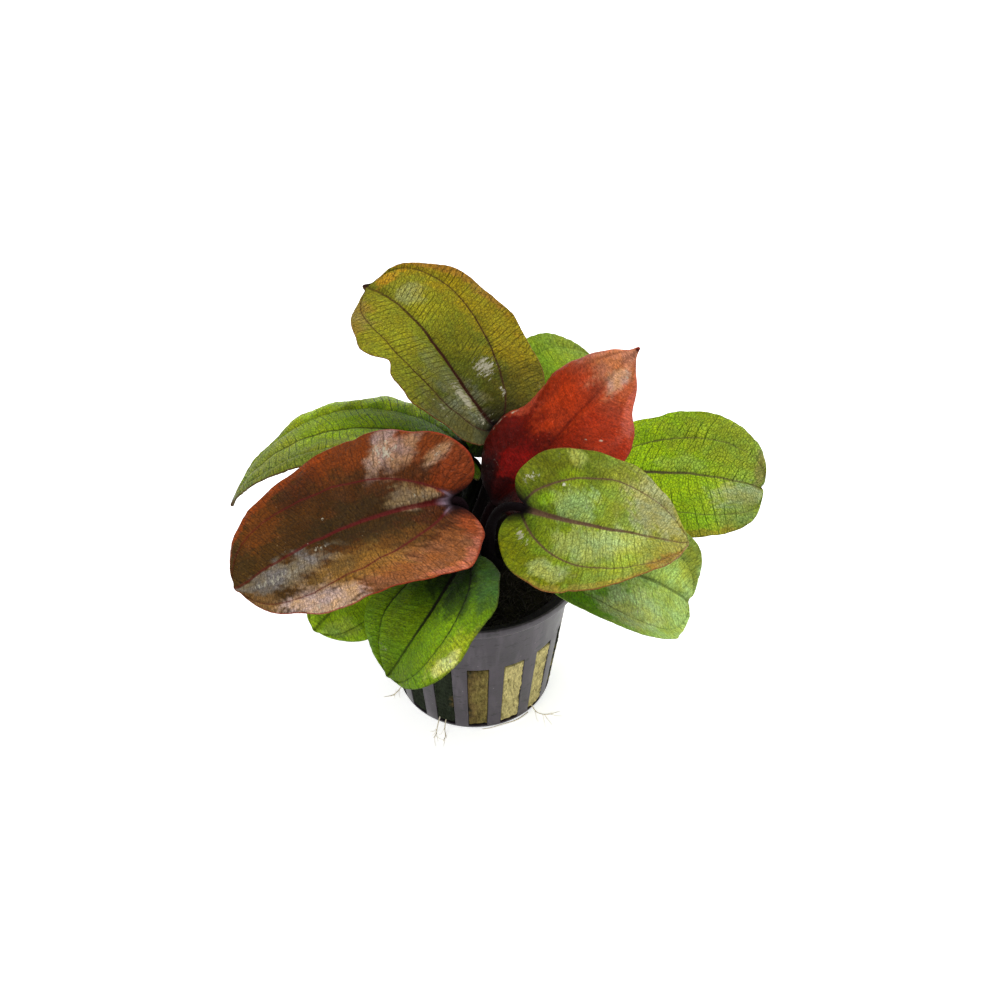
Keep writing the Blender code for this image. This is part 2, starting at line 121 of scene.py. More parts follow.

# Each leaf's shape and look. A place on it is its share of the length from base to tip, and its
# place across, 1 at the left margin and -1 at the right. Angles are in degrees.
# foot     reach and bearing of the stalk's foot
# base     where the blade begins
# heading  bearing at the base, and its change to the tip
# rise     at base, middle and tip, and roll the same
# width    half-widths left and right
# cup      fold at base and tip, and curl of the margin
# lobe     how far the basal lobes are set back, and wing how far the stalk's wings reach out
# outline  narrowing at base and tip, and how much fuller the lower half is
# laterals place across of the side veins, left and right, at base, middle and tip
# nib      length of the nib, or below 0 depth of the notch
# nicks    of the margin: side, share, millimetres outwards, spread
# lamina   colours from base to tip
# tints    ovals of another colour: share, across, spread along, spread across, strength, colour;
#          some pale ones are painted sheen and some dark ones painted shade
# wet      ovals of water film, glossy and painted pale as sheen: share, across, the two
#          spreads, strength
# ribs     colour of the ribs at the base, their colour beyond it, and the strength of the
#          midrib and of the side veins
# net      colour, strength and pitch of the cross veins
# margin   colour and strength of the margin line, and the share where it begins
# stalk    its colour, near black as painted shade in the plant's heart, and under that of
#          the lower face
LEAVES = {
    "leaf_upper_left": dict(
        foot=(2.2, 110), base=(5, 27, 59), heading=(140, 0), rise=(30, 40, -15), roll=(0, 7, -15),
        length=48, width=(21, 22), cup=(35, 5, 0), lobe=6, outline=(0, 0, .1),
        laterals=((.56, .6, .7), (.4, .6, .84)), nib=1.9, wing=1.5,
        nicks=((1, .72, 1.3, .05), (1, .61, -3.2, .035), (1, .43, 1.3, .05), (1, .27, -1.1, .07),
          (1, .12, -.9, .05), (-1, .34, -.6, .06)),
        lamina=("2c2c0c", "4c5010", "747414", "706c18"),
        # Tints 686858, 5c6040 and 808050 are painted sheen, and 1c1c0c at the base is painted
        # shade.
        tints=((.5, -.95, .6, .42, .8, "807010"), (.12, -.8, .14, .5, .8, "48420c"),
          (.8, -.97, .3, .1, .6, "7c4a20"), (.15, .75, .25, .5, .6, "504c34"),
          (.18, .2, .14, .3, .6, "686858"), (.9, .85, .12, .35, .6, "7c6030"),
          (.95, -.45, .04, .3, .85, "9c7418"), (.3, .25, .25, .2, .5, "5c6040"),
          (.8, -.25, .06, .2, .6, "808050"), (.03, 0, .06, 1, .7, "1c1c0c"),
          (.997, 0, .006, .6, 1, "2c1810")),
        wet=((.29, -.34, .07, .18, .8), (.14, -.42, .05, .06, .7), (.8, -.25, .05, .14, .45),
          (.22, .18, .13, .2, .8), (.07, .25, .06, .4, .65), (.3, .72, .08, .14, .5),
          (.12, -.93, .03, .05, .5)),
        ribs=("1c0c0a", "34180c", 1, .9), net=("34300c", .6, 1.35), margin=("7c4428", .6, 0),
        stalk="080304", under="6e7044"),
    "leaf_far_left": dict(
        foot=(5.6, 125), base=(-2, 27, 50), heading=(188, 14), rise=(40, 2, -70),
        roll=(10, 15, 25), length=69, width=(18, 18), cup=(10, 0, -5), lobe=7,
        outline=(.4, .9, .3), laterals=((.5, .56, .7), (.5, .56, .7)), nib=.6, wing=1.5,
        nicks=((-1, .06, 4.5, .06), (-1, .42, -.5, .08)),
        lamina=("4c7408", "7c9c0c", "748414", "6c7830"),
        # Tint a8c410 is painted light where leaf_upper_left shades this leaf, and 0c1406 at the
        # base is painted shade.
        tints=((.5, .8, .5, .5, .8, "5c6424"), (.8, 0, .14, .8, .5, "747c38"),
          (.99, 0, .025, 1, 1, "2c180c"), (.35, -.9, .3, .3, .7, "a8c410"),
          (0, -.5, .05, 1.2, .9, "0c1406")),
        wet=((.55, .7, .2, .25, .35), (.8, .3, .1, .3, .3)), ribs=("3a3a14", "3a3a14", .7, .45),
        net=("2c440c", .85, 1.8), margin=("4a2c14", .8, 0), stalk="060804", under="6c8040"),
    "leaf_red_left": dict(
        foot=(5.6, 228), base=(-5, -9, 68), heading=(200, 8), rise=(10, -8, -25),
        roll=(-60, -5, -10), length=54, width=(23, 22), cup=(15, 0, 0), lobe=12,
        outline=(.5, .2, 0), laterals=((.31, .55, .75), (.3, .52, .73)), nib=.5,
        nicks=((1, .51, -1.3, .1), (1, .26, 1, .05), (1, .13, -1.1, .04), (1, .87, -.5, .05),
          (-1, .75, -1, .1), (-1, .27, -.6, .03), (-1, .42, -.5, .02)),
        lamina=("3a1a09", "43230a", "3c2409", "3c2a0d"),
        # Tints a88c80, 68605a, 846a60, 84685c, 8c7060 and 7a664e are painted sheen.
        tints=((.35, -.88, .28, .26, .75, "6a2f0c"), (.78, -.97, .3, .12, .7, "7c340c"),
          (.62, -.7, .09, .2, .6, "34180a"), (.8, -.6, .1, .25, .8, "5c300c"),
          (.35, .4, .2, .2, .6, "5c3e18"), (.06, -.7, .08, .5, .8, "6c2c10"),
          (.32, .85, .3, .3, .75, "845030"), (.05, .95, .07, .3, .6, "8c3c20"),
          (.22, .99, .2, .08, .6, "a85c48"), (.38, 0, .28, .28, .7, "281e07"),
          (.93, .7, .06, .4, .8, "74583c"), (.74, .88, .13, .28, .95, "a88c80"),
          (.84, .24, .22, .2, .85, "68605a"), (.56, .55, .2, .2, .6, "7c5c2c"),
          (.33, -.78, .03, .34, .9, "846a60"), (.27, -.74, .05, .24, .8, "84685c"),
          (.16, -.76, .02, .2, .7, "8c7060"), (.17, -.15, .1, .16, .8, "7a664e"),
          (.02, 0, .03, .5, .7, "2a100c")),
        wet=((.31, -.76, .05, .22, .65), (.16, -.78, .015, .16, .6), (.62, .12, .04, .06, .6),
          (.85, .26, .14, .12, .65), (.74, .9, .06, .14, .5), (.55, -.2, .012, .02, .8),
          (.74, -.06, .012, .02, .7), (.65, -.01, .01, .015, .7), (.14, -.14, .06, .12, .5),
          (.12, .16, .05, .06, .4)),
        # The lilac rib colour at the base, 948090, is a painted highlight.
        ribs=("948090", "541414", .85, .8), net=("241006", .45, 1.6), margin=("8c3018", .75, 0),
        stalk="100408", under="7a5446"),
    "leaf_front": dict(
        foot=(5.6, 265), base=(-2, -15, 56), heading=(252, -32), rise=(0, -20, -50),
        roll=(10, 20, 15), length=35, width=(18, 18), cup=(5, 10, -5), lobe=3,
        outline=(.5, 0, -.1), laterals=((.32, .52, .64), (.55, .64, .5)), nib=.4,
        nicks=((1, .4, .6, .09), (1, .6, -.3, .06)),
        # The dark base colour 0e1a05 and tint 0e1e06 are painted shadow of leaf_red_left above it;
        # tint 7c8820 is a painted highlight and b0b470 painted sheen.
        lamina=("0e1a05", "3c5c0a", "6a8c0d", "506c10"),
        tints=((.7, .85, .14, .22, .7, "7c8820"), (.8, -.7, .25, .3, .5, "68900c"),
          (.18, .1, .18, .7, .75, "0e1e06"), (.25, .9, .2, .3, .85, "345020"),
          (.75, .88, .07, .1, .8, "b0b470"), (.38, .35, .14, .25, .7, "1c3008")),
        wet=((.88, -.4, .04, .22, .6), (.73, .9, .05, .06, .6), (.6, .5, .1, .05, .25)),
        ribs=("100c10", "141410", .95, .8), net=("182c08", .35, 1.5), margin=("3a3a12", .5, 0),
        stalk="060304", under="60783a"),
    "leaf_low_left": dict(
        foot=(5.6, 190), base=(-10, -1, 46), heading=(215, 5), rise=(10, -12, -40),
        roll=(0, -5, -5), length=36, width=(16, 12), cup=(5, 5, 0), lobe=2, outline=(.2, .1, 0),
        laterals=((.42, .54, .68), (.42, .54, .68)), nib=.4, nicks=(),
        lamina=("446410", "68940c", "749c10", "80a01c"), tints=((.9, .5, .1, .3, .5, "90a850"),),
        wet=((.9, .6, .06, .12, .4),), ribs=("2c3010", "2c3010", .8, .6), net=("30500c", .4, 1.5),
        margin=("4a5a18", .5, 0), stalk="0a0804", under="607c34"),
    "leaf_young_red": dict(
        foot=(2.2, -30), base=(5, 3, 56), heading=(15, 20), rise=(45, 45, 30), roll=(30, 0, 55),
        length=50, width=(18, 18), cup=(40, 0, -20), lobe=0, outline=(.4, 1, 0),
        laterals=((.42, .54, .68), (.42, .54, .68)), nib=1.2,
        nicks=((1, .62, .8, .06), (1, .38, -1.9, .07), (1, .95, .5, .03), (-1, .79, -1.4, .06)),
        # The near-black base colour 120202 and tints 240202 and 0c0102 are painted shade, tint
        # 840c08 is painted light shining through the blade, and a08070 is painted sheen.
        lamina=("120202", "480602", "84240c", "a05c40"),
        tints=((.15, .2, .16, .22, .55, "840c08"), (.62, .3, .2, .4, .7, "983012"),
          (.45, .9, .1, .25, .6, "a0402c"), (.92, .1, .14, .7, .5, "a87458"),
          (.85, -.25, .06, .3, .7, "a08070"), (.62, -.6, .15, .25, .6, "7c240c"),
          (.78, -.9, .12, .15, .7, "a04c40"), (.2, -.6, .2, .4, .8, "240202"),
          (.04, .3, .09, .9, .85, "0c0102"), (.997, 0, .006, .6, 1, "2c0c08")),
        wet=((.89, -.35, .035, .3, .55), (.55, -.45, .015, .04, .7), (.6, -.62, .015, .05, .8),
          (.15, .5, .02, .2, .4), (.3, .9, .14, .03, .7), (.75, -.5, .1, .05, .35)),
        ribs=("240402", "440804", .35, .12), net=("54100a", .08, 2), margin=("943020", .6, 0),
        stalk="100204", under="783424"),
    "leaf_right_front": dict(
        foot=(5.6, -50), base=(12, -16, 72), heading=(-21, 12), rise=(-5, 0, -10),
        roll=(45, 10, -10), length=38, width=(20, 19), cup=(-5, 5, 0), lobe=8,
        outline=(.6, .4, 0), laterals=((.51, .63, .7), (.42, .6, .72)), nib=.2,
        nicks=((1, .55, -.5, .08), (1, .84, -.6, .1), (-1, .42, .4, .05), (-1, .5, -.5, .015)),
        lamina=("4c5c0a", "687c18", "788634", "888040"),
        # Tints 809458, 84905c, 8a8a62, 94a060, 98a468 and 989c50 are painted sheen.
        tints=((.25, .8, .25, .4, .85, "505408"), (.3, .2, .14, .25, .75, "809458"),
          (.45, -.3, .2, .25, .7, "84905c"), (.25, -.85, .25, .25, .85, "5c6004"),
          (.78, .55, .18, .5, .9, "8a8a62"), (.62, -.2, .14, .25, .6, "94a060"),
          (.35, -.75, .09, .12, .6, "98a468"), (.9, -.8, .1, .2, .7, "8c6430"),
          (.6, -.97, .25, .07, .5, "8c7034"), (.3, .6, .07, .12, .6, "7c9010"),
          (.5, .75, .08, .15, .5, "94983c"), (.2, -.45, .06, .12, .6, "6c7c10"),
          (.68, -.55, .07, .2, .6, "7c8c28"), (.55, .25, .06, .1, .5, "707c24"),
          (.44, .78, .1, .2, .6, "4c5c10"), (.34, .85, .035, .15, .5, "989c50"),
          (.6, .85, .08, .15, .5, "5c6420"), (.12, .3, .05, .12, .6, "789c10")),
        wet=((.1, .8, .05, .12, .7), (.12, -.65, .06, .1, .75), (.26, .88, .04, .07, .5),
          (.36, .24, .04, .12, .5), (.4, -.73, .04, .08, .5), (.74, .5, .08, .14, .3),
          (.25, .5, .05, .08, .5), (.2, -.35, .05, .08, .4)),
        ribs=("14060a", "583c30", .9, .8), net=("48540e", .5, 1.5), margin=("84482c", .75, .2),
        stalk="080305", under="7c8850"),
    "leaf_right": dict(
        foot=(5.6, 30), base=(22, 19, 46), heading=(-12, 2), rise=(35, 10, -15), roll=(5, 5, 0),
        length=51, width=(20, 22), cup=(-5, 5, 0), lobe=3, outline=(.3, -.3, 0),
        laterals=((.4, .52, .6), (.45, .58, .67)), nib=-.8,
        nicks=((1, .48, -.9, .06), (1, .91, -.6, .04), (-1, .74, .5, .04), (-1, .88, -.7, .03),
          (-1, .97, .4, .02)),
        lamina=("5c800a", "86a60c", "78940c", "748430"),
        # Tint 889068 is painted sheen.
        tints=((.75, .6, .25, .4, .6, "6c7820"), (.9, -.3, .12, .25, .8, "889068"),
          (.6, .12, .12, .12, .5, "8ca040"), (.7, -.75, .1, .2, .6, "68880c"),
          (.9, -.7, .08, .3, .6, "647440"), (.4, -.6, .15, .3, .4, "608418"),
          (.7, -.97, .2, .08, .7, "7c6c20"), (.97, .5, .03, .5, .6, "6c6040")),
        wet=((.62, -.1, .05, .08, .3), (.88, -.3, .06, .12, .5), (.95, .1, .03, .12, .4)),
        ribs=("1c100c", "4c4428", .95, .65), net=("38540a", .8, 2.3), margin=("6c6428", .5, 0),
        stalk="100a06", under="68843c"),
    "leaf_low_right": dict(
        foot=(5.6, -12), base=(15, -16, 57), heading=(-11, 12), rise=(0, -15, -50),
        roll=(-5, 15, 25), length=39, width=(15, 20), cup=(5, 5, 20), lobe=3,
        outline=(.2, -.2, .1), laterals=((.42, .54, .7), (.4, .57, .76)), nib=-.6,
        nicks=((-1, .45, .5, .2), (-1, .92, -.5, .03)),
        # These colours are raised against the shade that leaf_right_front casts here, as painted
        # light, and tint b8c48e is painted sheen.
        lamina=("4c7c10", "74a428", "8ca850", "90a45c"),
        tints=((.4, -.75, .12, .2, .7, "6ca41c"), (.6, -.5, .2, .35, .75, "b8c48e"),
          (.75, -.2, .2, .5, .5, "8ca458"), (.9, .6, .1, .3, .6, "8c9434"),
          (.3, -.9, .1, .1, .5, "688434")),
        wet=((.61, -.47, .12, .1, .5), (.85, .1, .05, .2, .4)),
        ribs=("34401c", "34401c", .7, .45), net=("40601c", .35, 1.7), margin=("64702c", .5, 0),
        stalk="0a0804", under="708848"),
    "leaf_back": dict(
        foot=(5.6, 75), base=(6, 29, 50), heading=(50, -15), rise=(50, 15, -30), roll=(0, 5, 5),
        length=38, width=(14, 15), cup=(10, 5, 0), lobe=9, outline=(.2, .2, -.4),
        laterals=((.42, .54, .68), (.42, .54, .68)), nib=.5, wing=1.2,
        nicks=((1, .08, 4, .07), (1, .85, .6, .06)),
        lamina=("4c600e", "5c7a10", "668018", "748034"),
        # Tint 8c9a88 is painted sheen, and 0c1406 at the base is painted shade.
        tints=((.75, -.9, .3, .3, .9, "8c9a88"), (0, .5, .07, 1.2, .85, "0c1406")),
        wet=((.85, -.75, .12, .2, .4),), ribs=("3a4814", "3a4814", .5, .35),
        net=("40640e", .5, 1.6), margin=("60782c", .6, 0), stalk="080804", under="688040"),
}

# Routes of the four roots, as in the solids.
ROOT_REST = 0.4
ROOTS = {
    "root_front_left": ((-8.4, -17.6, 3.2), (-9.0, -19.2, 1.4), (-9.3, -20.6, ROOT_REST),
                        (-9.9, -22.2, ROOT_REST)),
    "root_front": ((-6.9, -18.3, 3.0), (-7.2, -19.9, 1.2), (-7.0, -21.4, ROOT_REST),
                   (-7.6, -23.2, ROOT_REST)),
    "root_right": ((14.2, -13.8, 3.2), (15.6, -14.6, 1.4), (18.2, -14.4, ROOT_REST),
                   (21.2, -13.4, ROOT_REST)),
    "root_left": ((-18.0, -7.4, 3.4), (-19.3, -8.0, 1.6), (-20.6, -8.0, ROOT_REST),
                  (-22.6, -8.6, ROOT_REST)),
}


# Making meshes

def surface(name, points, faces, material, marks=None):
    """A smooth mesh of one material, from points in millimetres and quads or triangles.

    marks are values kept on the points: name to one number or three numbers a point.
    """
    mesh = bpy.data.meshes.new(name)
    corners = np.concatenate([part.ravel() for part in faces])
    sizes = np.concatenate([np.full(len(part), part.shape[1]) for part in faces])
    mesh.vertices.add(len(points))
    mesh.vertices.foreach_set("co", (points * MM).astype(np.float32).ravel())
    mesh.loops.add(len(corners))
    mesh.loops.foreach_set("vertex_index", corners.astype(np.int32))
    mesh.polygons.add(len(sizes))
    mesh.polygons.foreach_set("loop_start", (np.cumsum(sizes) - sizes).astype(np.int32))
    mesh.update(calc_edges=True)
    mesh.validate()
    mesh.shade_smooth()
    for mark, values in (marks or {}).items():
        kind, field = ("FLOAT", "value") if values.ndim == 1 else ("FLOAT_VECTOR", "vector")
        mesh.attributes.new(mark, kind, "POINT")
        mesh.attributes[mark].data.foreach_set(field, values.astype(np.float32).ravel())
    mesh.materials.append(material)
    piece = bpy.data.objects.new(name, mesh)
    bpy.context.collection.objects.link(piece)
    return piece


def skin_faces(numbers):
    """Quads between closed rings of points, whose numbers are given ring by ring."""
    nxt = np.roll(numbers, -1, 1)
    return np.stack([numbers[:-1], nxt[:-1], nxt[1:], numbers[1:]], -1)


def pole_faces(pole, ring):
    """Triangles from a pole to each side of a ring of points, given by number."""
    return np.stack([np.full(len(ring), pole), ring, np.roll(ring, -1)], -1)


def skins(name, rings, material, marks=None):
    """Closed bodies in one mesh, skinned over rings of points: body, ring, point, place.

    Each body has a pole in the middle of each end ring. marks are three values a point.
    """
    bodies, count, around = rings.shape[:3]

    def with_poles(values):
        values = values.reshape(rings.shape)
        ends = values[:, [0, -1]].mean(2)
        return np.concatenate([values.reshape(bodies, -1, 3), ends], 1).reshape(-1, 3)

    block = count * around
    numbers = np.arange(block).reshape(count, around)
    parts = (skin_faces(numbers).reshape(-1, 4), pole_faces(block, numbers[0])[:, [0, 2, 1]],
             pole_faces(block + 1, numbers[-1]))
    shift = (np.arange(bodies) * (block + 2))[:, None, None]
    faces = [(part + shift).reshape(-1, part.shape[1]) for part in parts]
    marks = {mark: with_poles(values) for mark, values in (marks or {}).items()}
    return surface(name, with_poles(rings), faces, material, marks)


def strands(name, paths, radii, material, sides):
    """Many thin round strands in one mesh.

    Each path is a row of points, and its section is a ring of points at the radius round the
    path, square to its slope.
    """
    slope = np.gradient(paths, axis=1)
    slope /= np.linalg.norm(slope, axis=2, keepdims=True).clip(1e-9)
    helper = np.where(np.abs(slope[..., 2:]) > 0.8, [1.0, 0.0, 0.0], [0.0, 0.0, 1.0])
    one = np.cross(slope, helper)
    one /= np.linalg.norm(one, axis=2, keepdims=True)
    two = np.cross(slope, one)
    angle = np.arange(sides) * 2 * np.pi / sides
    ring = np.cos(angle)[:, None] * one[:, :, None] + np.sin(angle)[:, None] * two[:, :, None]
    return skins(name, paths[:, :, None] + radii[:, :, None, None] * ring, material)


def turned(radius, bearing, height):
    """Points at a radius and bearing from Z and at a height, each a number or an array."""
    return np.stack(np.broadcast_arrays(radius * np.cos(bearing), radius * np.sin(bearing),
                                        height), -1)


def through(share, base, middle, tip):
    """Quadratic that takes the three values at shares 0, 1/2 and 1 of the length."""
    return (base * (1 - share) * (1 - 2 * share) + middle * 4 * share * (1 - share)
            + tip * share * (2 * share - 1))


def smooth(values, low, high):
    """0 below low, 1 above high, and a smooth step between."""
    t = ((values - low) / (high - low)).clip(0, 1)
    return t * t * (3 - 2 * t)


def read_along(places, stops, rows):
    """Rows of three values, one row a stop, read at places in straight steps between them."""
    return np.stack([np.interp(places, stops, column) for column in rows.T], -1)


def ripple(seed, *coordinates, waves=6, longest=1.0):
    """Smooth unevenness about 0: a sum of sines of random direction, length and phase."""
    draw = np.random.default_rng(seed)
    total = 0.0
    for k in range(waves):
        turns = draw.normal(size=len(coordinates))
        turns *= 2 * np.pi / (longest * (0.45 + 0.55 * draw.random()) * np.linalg.norm(turns))
        phase = draw.random() * 2 * np.pi
        total = total + np.sin(sum(t * c for t, c in zip(turns, coordinates)) + phase)
    return total / math.sqrt(waves)


# Leaves

def half_outline(turn, half_width, blunt, taper, fuller):
    """Half-width of a blade, where turn goes from 0 at its base to pi at its tip."""
    def shape(t):
        narrowed = np.cos(t / 2).clip(1e-9) ** taper * np.sin(t / 2).clip(1e-9) ** blunt
        return np.sin(t) * narrowed * (1 + fuller * np.cos(t))
    return half_width * shape(turn) / shape(np.linspace(0, np.pi, 200)).max()


def blade_frames(leaf, base):
    """Along a blade: the turn, the share of its length, its midrib, and the directions
    forward, left and up, from its heading, rise and roll as quadratics of the share."""
    fine = np.linspace(0, 1, 401)
    rise = np.radians(through(fine, *leaf["rise"]))
    roll = np.radians(through(fine, *leaf["roll"]))[:, None]
    bearing = np.radians(leaf["heading"][0] + leaf["heading"][1] * fine)
    forward = turned(np.cos(rise), bearing, np.sin(rise))
    level = turned(1.0, bearing + np.pi / 2, 0.0)
    normal = np.cross(forward, level)
    left = level * np.cos(roll) + normal * np.sin(roll)
    up = normal * np.cos(roll) - level * np.sin(roll)
    step = leaf["length"] * (fine[1] - fine[0])
    path = np.zeros_like(forward)
    path[1:] = np.cumsum((forward[1:] + forward[:-1]) / 2 * step, axis=0)
    turn = np.linspace(0, np.pi, BLADE_STATIONS)
    share = (1 - np.cos(turn)) / 2
    return turn, share, *(read_along(share, fine, rows)
                          for rows in (path + base, forward, left, up))


def stalk_frames(base, forward, left):
    """Along a stalk, a cubic that rises straight off the crown and runs into the blade: the
    share of its length, its middle, and the directions left and up."""
    span = np.linalg.norm(base)
    t = np.linspace(0, 1, STALK_STATIONS + 1)[:-1, None]
    start = np.array([0.0, 0.0, 1.0]) * span
    end = forward * span * STALK_LEAD
    path = (t**3 - 2 * t**2 + t) * start + (3 * t**2 - 2 * t**3) * base + (t**3 - t**2) * end
    slope = (3 * t**2 - 4 * t + 1) * start + (6 * t - 6 * t**2) * base + (3 * t**2 - 2 * t) * end
    slope /= np.linalg.norm(slope, axis=1)[:, None]
    side = left - (left * slope).sum(1)[:, None] * slope
    side /= np.linalg.norm(side, axis=1)[:, None]
    return t[:, 0], path, side, np.cross(slope, side)


def oval(share, v, at, across, long, wide):
    """How much of an oval mark lies at each place: a bell curve of the distance to its middle,
    with the lengths of its axes as the spreads."""
    return np.exp(-0.8 * (((share - at) / long) ** 2 + ((v - across) / wide) ** 2))


def lamina_tone(leaf, share, v, uneven):
    """Linear colour of the lamina: from base to tip, with each tint laid over in turn. The
    unevenness moves the edge of a tint and fades away from it."""
    # Some tints are painted sheen, pale, and some painted shade, dark, as noted with the leaves.
    colors = np.array([linear(code)[:3] for code in leaf["lamina"]])
    tone = read_along(share, (0.0, 0.33, 0.66, 1.0), colors)
    for at, across, long, wide, strength, code in leaf["tints"]:
        mark = oval(share, v, at, across, long, wide)
        much = smooth(mark + 0.14 * uneven * smooth(mark, 0.0, 0.2), 0.2, 0.7)
        tone += (strength * much)[..., None] * (np.array(linear(code)[:3]) - tone)
    return tone


def section():
    """One section of a blade: its place across v, which face it is on, and the angle round,
    from the left margin over the top to the right one and back below. v goes from 1 at the
    left to -1 at the right, packed to midrib and margins by p - 0.55 sin(2 pi p) / (2 pi)."""
    k = np.arange(2 * ACROSS)
    p = np.abs(2 * k / ACROSS - 2) - 1
    v = p - 0.55 * np.sin(2 * np.pi * p) / (2 * np.pi)
    return v, np.where(k <= ACROSS, 1, -1), k * np.pi / ACROSS


def half_widths(leaf, seed, turn, share):
    """Half-widths left and right, clean and as grown. The grown one is the clean outline, a
    slight waviness, and each nick or bulge of the margin as a bell curve of the share."""
    clean, halves = [], []
    for hand, widest in zip((1, -1), leaf["width"]):
        wide = half_outline(turn, widest, *leaf["outline"])
        clean.append(wide)
        change = 0.1 * ripple(seed * 7 + hand, share * leaf["length"], longest=9.0)
        for nick_hand, at, out, spread in leaf["nicks"]:
            if nick_hand == hand:
                change = change + out * np.exp(-((share - at) / spread) ** 2)
        halves.append((wide + change * smooth(wide, 0.5, 5.0)).clip(0))
    return clean, halves


def vein_lines(leaf, seed, S, V, half, clean, x, y):
    """Where the veins lie: the share across of the side vein, the distance from it, and the
    cross veins' ladder, which counts millimetres along and slants to the tip going outwards.
    The side vein follows the clean outline, so that no nick of the margin bends it."""
    place = np.where(V >= 0, through(S, *leaf["laterals"][0]), through(S, *leaf["laterals"][1]))
    from_lateral = np.abs(x) - place * clean
    lateral = (place * clean / half.clip(0.1)).clip(0.1, 0.95)
    ladder = y - 0.30 * np.abs(x) + 0.22 * ripple(seed + 50, x, y, longest=16.0)
    return lateral, from_lateral, ladder


def relief(pitch, seed, V, half, x, y, lateral, from_lateral, ladder):
    """Height of the lamina in millimetres: grooves of bell section along midrib and side
    veins, half sine bulges between them, a cosine at each cross vein, and unevenness that
    grows towards the margin with the cube of the place across."""
    rise = -0.30 * np.exp(-(x / 0.75) ** 2) - 0.20 * np.exp(-(from_lateral / 0.45) ** 2)
    inner = (np.abs(V) / lateral).clip(0, 1)
    outer = ((np.abs(V) - lateral) / (1 - lateral)).clip(0, 1)
    rise += 0.30 * (np.sin(np.pi * inner) + np.sin(np.pi * outer)) - 0.2
    rise += 0.03 * np.cos(2 * np.pi * ladder / pitch) * smooth(np.abs(x), 0.5, 2.0)
    rise += 0.13 * ripple(seed + 11, x, y, longest=11.0)
    rise += 0.05 * ripple(seed + 23, x, y, longest=3.0)
    rise += 0.5 * np.abs(V) ** 3 * ripple(seed + 31, x, y, longest=22.0)
    return rise * smooth(half, 0.5, 6.0)


def set_off(path, *moves):
    """Rings of points at a path's points, moved by amounts along a direction at each."""
    return path[:, None] + sum(much[..., None] * way[:, None] for much, way in moves)


